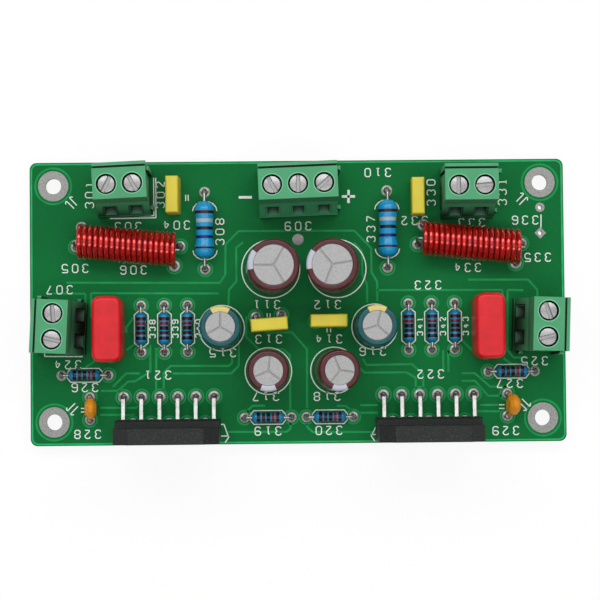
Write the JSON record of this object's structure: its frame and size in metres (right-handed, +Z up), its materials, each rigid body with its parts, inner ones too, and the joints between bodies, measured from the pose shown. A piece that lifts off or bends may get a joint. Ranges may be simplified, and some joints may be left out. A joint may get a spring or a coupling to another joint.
{
  "type": "audio amplifier board",
  "caption": "Green circuit board with power amplifier chips, output coils, capacitors, resistors and screw terminals, for mounting on stand-offs against a heatsink.",
  "frame": {"origin": "midway between the four corner mounting holes, on the underside of the board", "axes": "+X along the board's length, +Y across it to the edge with the supply terminal, +Z up out of the component side"},
  "size_m": [0.1056, 0.056, 0.0241],
  "materials": {
    "board_laminate": "green solder mask over laminate, glossy",
    "solder": "bright tin solder",
    "terminal_plastic": "moulded green plastic, satin",
    "contact_brass": "tinned brass",
    "screw_steel": "zinc plated steel",
    "cage_steel": "nickel plated steel",
    "chip_epoxy": "matt moulded epoxy",
    "tinned_lead": "tinned wire, satin",
    "coil_enamel": "red enamelled copper wire, glossy",
    "resistor_lacquer": "blue lacquer with dark bands",
    "brown_sleeve": "brown shrink sleeve, silver top",
    "teal_sleeve": "teal shrink sleeve, silver top",
    "red_epoxy": "red dipped epoxy, glossy",
    "yellow_plastic": "yellow moulded plastic",
    "amber_epoxy": "amber dipped coating, glossy"
  },
  "bodies": {
    "amplifier_board": {"circuit_board": "board_laminate", "solder_joints": "solder", "supply_terminal_housing": "terminal_plastic", "left_output_terminal_housing": "terminal_plastic", "right_output_terminal_housing": "terminal_plastic", "left_input_terminal_housing": "terminal_plastic", "right_input_terminal_housing": "terminal_plastic", "left_amplifier_chip": "chip_epoxy", "left_chip_leads": "tinned_lead", "left_output_coil": "coil_enamel", "left_coil_resistor": "resistor_lacquer", "left_damping_resistor": "resistor_lacquer", "left_channel_resistors": "resistor_lacquer", "left_reservoir_capacitor": "brown_sleeve", "left_mute_capacitor": "brown_sleeve", "left_feedback_capacitor": "teal_sleeve", "left_input_capacitor": "red_epoxy", "left_bypass_capacitor": "yellow_plastic", "left_output_bypass_capacitor": "yellow_plastic", "left_ceramic_capacitor": "amber_epoxy", "right_amplifier_chip": "chip_epoxy", "right_chip_leads": "tinned_lead", "right_output_coil": "coil_enamel", "right_coil_resistor": "resistor_lacquer", "right_damping_resistor": "resistor_lacquer", "right_channel_resistors": "resistor_lacquer", "right_reservoir_capacitor": "brown_sleeve", "right_mute_capacitor": "brown_sleeve", "right_feedback_capacitor": "teal_sleeve", "right_input_capacitor": "red_epoxy", "right_bypass_capacitor": "yellow_plastic", "right_output_bypass_capacitor": "yellow_plastic", "right_ceramic_capacitor": "amber_epoxy", "terminal_contacts": "contact_brass", "resistor_leads": "tinned_lead", "capacitor_leads": "tinned_lead"},
    "supply_screw_1": {"supply_screw_1": "screw_steel"},
    "supply_clamp_1": {"supply_clamp_1": "cage_steel"},
    "supply_screw_2": {"supply_screw_2": "screw_steel"},
    "supply_clamp_2": {"supply_clamp_2": "cage_steel"},
    "supply_screw_3": {"supply_screw_3": "screw_steel"},
    "supply_clamp_3": {"supply_clamp_3": "cage_steel"},
    "left_output_screw_1": {"left_output_screw_1": "screw_steel"},
    "left_output_clamp_1": {"left_output_clamp_1": "cage_steel"},
    "left_output_screw_2": {"left_output_screw_2": "screw_steel"},
    "left_output_clamp_2": {"left_output_clamp_2": "cage_steel"},
    "right_output_screw_1": {"right_output_screw_1": "screw_steel"},
    "right_output_clamp_1": {"right_output_clamp_1": "cage_steel"},
    "right_output_screw_2": {"right_output_screw_2": "screw_steel"},
    "right_output_clamp_2": {"right_output_clamp_2": "cage_steel"},
    "left_input_screw_1": {"left_input_screw_1": "screw_steel"},
    "left_input_clamp_1": {"left_input_clamp_1": "cage_steel"},
    "left_input_screw_2": {"left_input_screw_2": "screw_steel"},
    "left_input_clamp_2": {"left_input_clamp_2": "cage_steel"},
    "right_input_screw_1": {"right_input_screw_1": "screw_steel"},
    "right_input_clamp_1": {"right_input_clamp_1": "cage_steel"},
    "right_input_screw_2": {"right_input_screw_2": "screw_steel"},
    "right_input_clamp_2": {"right_input_clamp_2": "cage_steel"}
  },
  "joints": [
    {"name": "supply_screw_1_turn", "type": "hinge", "parent": "amplifier_board", "child": "supply_screw_1", "pos_m": [-0.0049, 0.0221, 0.0126], "axis": [0, 0, -1], "range_deg": [0, 1800]},
    {"name": "supply_clamp_1_rise", "type": "slide", "parent": "amplifier_board", "child": "supply_clamp_1", "axis": [0, 0, 1], "range_m": [0, 0.0025]},
    {"name": "supply_screw_2_turn", "type": "hinge", "parent": "amplifier_board", "child": "supply_screw_2", "pos_m": [0.0001, 0.02227, 0.0126], "axis": [0, 0, -1], "range_deg": [0, 1800]},
    {"name": "supply_clamp_2_rise", "type": "slide", "parent": "amplifier_board", "child": "supply_clamp_2", "axis": [0, 0, 1], "range_m": [0, 0.0025]},
    {"name": "supply_screw_3_turn", "type": "hinge", "parent": "amplifier_board", "child": "supply_screw_3", "pos_m": [0.0051, 0.02244, 0.0126], "axis": [0, 0, -1], "range_deg": [0, 1800]},
    {"name": "supply_clamp_3_rise", "type": "slide", "parent": "amplifier_board", "child": "supply_clamp_3", "axis": [0, 0, 1], "range_m": [0, 0.0025]},
    {"name": "left_output_screw_1_turn", "type": "hinge", "parent": "amplifier_board", "child": "left_output_screw_1", "pos_m": [-0.03669, 0.02244, 0.0126], "axis": [0, 0, -1], "range_deg": [0, 1800]},
    {"name": "left_output_clamp_1_rise", "type": "slide", "parent": "amplifier_board", "child": "left_output_clamp_1", "axis": [0, 0, 1], "range_m": [0, 0.0025]},
    {"name": "left_output_screw_2_turn", "type": "hinge", "parent": "amplifier_board", "child": "left_output_screw_2", "pos_m": [-0.03169, 0.02266, 0.0126], "axis": [0, 0, -1], "range_deg": [0, 1800]},
    {"name": "left_output_clamp_2_rise", "type": "slide", "parent": "amplifier_board", "child": "left_output_clamp_2", "axis": [0, 0, 1], "range_m": [0, 0.0025]},
    {"name": "right_output_screw_1_turn", "type": "hinge", "parent": "amplifier_board", "child": "right_output_screw_1", "pos_m": [0.03098, 0.02173, 0.0126], "axis": [0, 0, -1], "range_deg": [0, 1800]},
    {"name": "right_output_clamp_1_rise", "type": "slide", "parent": "amplifier_board", "child": "right_output_clamp_1", "axis": [0, 0, 1], "range_m": [0, 0.0025]},
    {"name": "right_output_screw_2_turn", "type": "hinge", "parent": "amplifier_board", "child": "right_output_screw_2", "pos_m": [0.03598, 0.02173, 0.0126], "axis": [0, 0, -1], "range_deg": [0, 1800]},
    {"name": "right_output_clamp_2_rise", "type": "slide", "parent": "amplifier_board", "child": "right_output_clamp_2", "axis": [0, 0, 1], "range_m": [0, 0.0025]},
    {"name": "left_input_screw_1_turn", "type": "hinge", "parent": "amplifier_board", "child": "left_input_screw_1", "pos_m": [-0.04727, -0.00722, 0.0126], "axis": [0, 0, -1], "range_deg": [0, 1800]},
    {"name": "left_input_clamp_1_rise", "type": "slide", "parent": "amplifier_board", "child": "left_input_clamp_1", "axis": [0, 0, 1], "range_m": [0, 0.0025]},
    {"name": "left_input_screw_2_turn", "type": "hinge", "parent": "amplifier_board", "child": "left_input_screw_2", "pos_m": [-0.04703, -0.00222, 0.0126], "axis": [0, 0, -1], "range_deg": [0, 1800]},
    {"name": "left_input_clamp_2_rise", "type": "slide", "parent": "amplifier_board", "child": "left_input_clamp_2", "axis": [0, 0, 1], "range_m": [0, 0.0025]},
    {"name": "right_input_screw_1_turn", "type": "hinge", "parent": "amplifier_board", "child": "right_input_screw_1", "pos_m": [0.04788, -0.00258, 0.0126], "axis": [0, 0, -1], "range_deg": [0, 1800]},
    {"name": "right_input_clamp_1_rise", "type": "slide", "parent": "amplifier_board", "child": "right_input_clamp_1", "axis": [0, 0, 1], "range_m": [0, 0.0025]},
    {"name": "right_input_screw_2_turn", "type": "hinge", "parent": "amplifier_board", "child": "right_input_screw_2", "pos_m": [0.0477, -0.00758, 0.0126], "axis": [0, 0, -1], "range_deg": [0, 1800]},
    {"name": "right_input_clamp_2_rise", "type": "slide", "parent": "amplifier_board", "child": "right_input_clamp_2", "axis": [0, 0, 1], "range_m": [0, 0.0025]}
  ],
  "couplings": [
    {"joint": "supply_screw_1_turn", "follows": "supply_clamp_1_rise", "rad_per_m": 12566},
    {"joint": "supply_screw_2_turn", "follows": "supply_clamp_2_rise", "rad_per_m": 12566},
    {"joint": "supply_screw_3_turn", "follows": "supply_clamp_3_rise", "rad_per_m": 12566},
    {"joint": "left_output_screw_1_turn", "follows": "left_output_clamp_1_rise", "rad_per_m": 12566},
    {"joint": "left_output_screw_2_turn", "follows": "left_output_clamp_2_rise", "rad_per_m": 12566},
    {"joint": "right_output_screw_1_turn", "follows": "right_output_clamp_1_rise", "rad_per_m": 12566},
    {"joint": "right_output_screw_2_turn", "follows": "right_output_clamp_2_rise", "rad_per_m": 12566},
    {"joint": "left_input_screw_1_turn", "follows": "left_input_clamp_1_rise", "rad_per_m": 12566},
    {"joint": "left_input_screw_2_turn", "follows": "left_input_clamp_2_rise", "rad_per_m": 12566},
    {"joint": "right_input_screw_1_turn", "follows": "right_input_clamp_1_rise", "rad_per_m": 12566},
    {"joint": "right_input_screw_2_turn", "follows": "right_input_clamp_2_rise", "rad_per_m": 12566}
  ]
}
